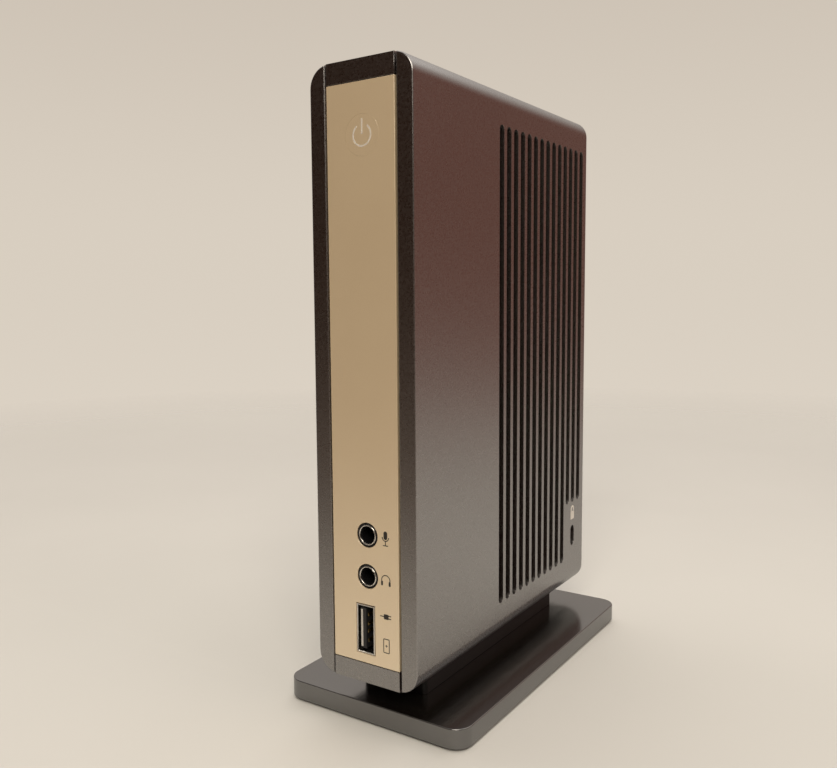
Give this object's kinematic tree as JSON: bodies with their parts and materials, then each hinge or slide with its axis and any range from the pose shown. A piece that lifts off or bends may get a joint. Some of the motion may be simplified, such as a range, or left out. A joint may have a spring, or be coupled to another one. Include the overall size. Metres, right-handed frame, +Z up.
{
  "type": "laptop docking station",
  "caption": "Slim upright docking station with a satin front panel, slotted side covers and rear ports, sliding on a flat weighted stand.",
  "frame": {"origin": "on the resting surface, under the middle of the dock's width and depth", "axes": "+Z up, the front panel faces -Y, the security-lock slot is on the +X side"},
  "size_m": [0.0576, 0.1094, 0.1722],
  "materials": {
    "shell_plastic": "fine-textured satin dark brown-grey moulded plastic",
    "panel_satin": "satin champagne-silver metallic paint",
    "black_plastic": "fine matt black moulded plastic",
    "pedestal_plastic": "matt black moulded plastic",
    "jack_plastic": "smooth black plastic",
    "port_steel": "bright nickel-plated steel",
    "screw_steel": "zinc-plated steel",
    "weight_steel": "plain rolled steel",
    "contact_gold": "gold-plated contact",
    "foot_rubber": "matt black rubber",
    "symbol_lens": "translucent pale plastic",
    "lamp_lens": "clear moulded lamp window",
    "board_green": "solder-resist over glass-fibre laminate",
    "chip_black": "moulded chip package",
    "pad_grey": "soft silicone thermal pad",
    "sink_aluminium": "black-anodised extruded aluminium",
    "can_aluminium": "bright drawn can",
    "ferrite": "moulded ferrite coil",
    "vga_blue": "blue moulded connector plastic"
  },
  "bodies": {
    "stand": {"stand_base": "shell_plastic", "stand_weight": "weight_steel", "stand_bottom_cover": "black_plastic", "stand_cover_screws": "screw_steel", "stand_feet": "foot_rubber", "stand_pedestal": "pedestal_plastic", "pedestal_screws": "screw_steel"},
    "dock": {"left_cover": "shell_plastic", "right_cover": "shell_plastic", "centre_frame": "shell_plastic", "front_panel": "panel_satin", "rear_panel": "black_plastic", "rear_screws": "screw_steel", "lock_plate": "weight_steel", "switch_housing": "chip_black", "power_lamp": "lamp_lens", "front_board": "board_green", "front_board_screws": "screw_steel", "board_connector": "black_plastic", "mic_jack": "jack_plastic", "headphone_jack": "jack_plastic", "front_usb_shell": "port_steel", "front_usb_core": "black_plastic", "main_board": "board_green", "main_board_screws": "screw_steel", "power_inlet": "black_plastic", "power_inlet_pin": "port_steel", "usb_b_shell": "port_steel", "usb_b_core": "black_plastic", "usb_stack_low_shell": "port_steel", "usb_stack_low_core": "black_plastic", "usb_stack_high_shell": "port_steel", "usb_stack_high_core": "black_plastic", "network_jack": "port_steel", "network_contacts": "contact_gold", "network_lamps": "lamp_lens", "hdmi_shell": "port_steel", "hdmi_core": "black_plastic", "vga_body": "vga_blue", "vga_shroud": "port_steel", "vga_jack_nuts": "screw_steel", "video_chip": "chip_black", "thermal_pad": "pad_grey", "heat_sink": "sink_aluminium", "hub_chip": "chip_black", "network_chip": "chip_black", "memory_chips": "chip_black", "network_transformer": "chip_black", "capacitors": "can_aluminium", "power_coils": "ferrite", "crystals": "can_aluminium"},
    "key": {"power_key": "panel_satin", "power_symbol": "symbol_lens", "switch_plunger": "black_plastic"}
  },
  "joints": [
    {"name": "dock_slide", "type": "slide", "parent": "stand", "child": "dock", "axis": [0, -1, 0], "range_m": [0, 0.009]},
    {"name": "power_press", "type": "slide", "parent": "dock", "child": "key", "axis": [0, 1, 0], "range_m": [0, 0.0004], "stiffness_N_per_m": 4000, "springref_m": -0.0001}
  ]
}
